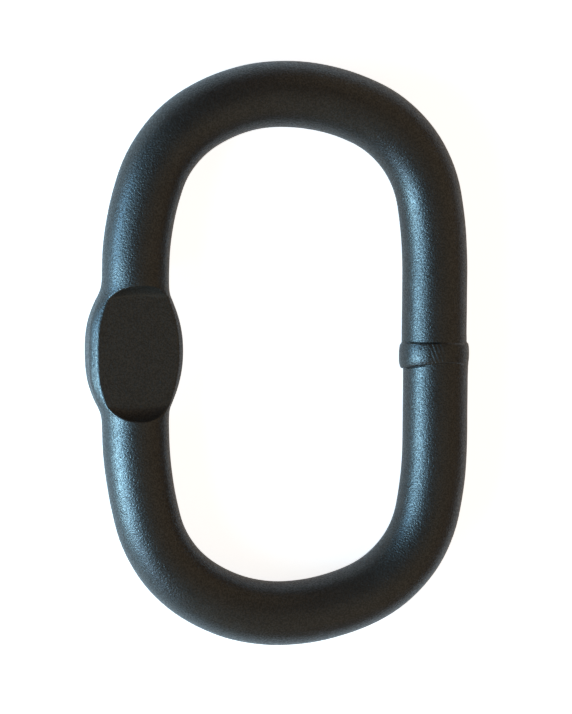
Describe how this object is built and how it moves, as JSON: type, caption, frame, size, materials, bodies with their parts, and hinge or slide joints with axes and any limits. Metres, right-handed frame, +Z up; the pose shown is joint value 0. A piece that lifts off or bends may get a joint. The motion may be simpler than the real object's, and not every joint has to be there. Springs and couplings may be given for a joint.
{
  "type": "oblong lifting ring",
  "caption": "Oblong steel lifting ring, bent from one round bar, with a butt weld collar in one leg and a pressed flat pad in the other that chain fittings pass over.",
  "frame": {"origin": "on the surface that the ring lies on, under the middle of its outermost sizes", "axes": "+X across the legs towards the welded leg, +Y along the legs towards the crown, +Z up out of the face that the ring lies on, along the way a hook goes through it"},
  "size_m": [0.0974, 0.1454, 0.0173],
  "materials": {
    "coated_steel": "thin satin brown-black coat over forged steel, with a fine grain"
  },
  "bodies": {
    "root": {"lifting_ring": "coated_steel"}
  },
  "joints": []
}
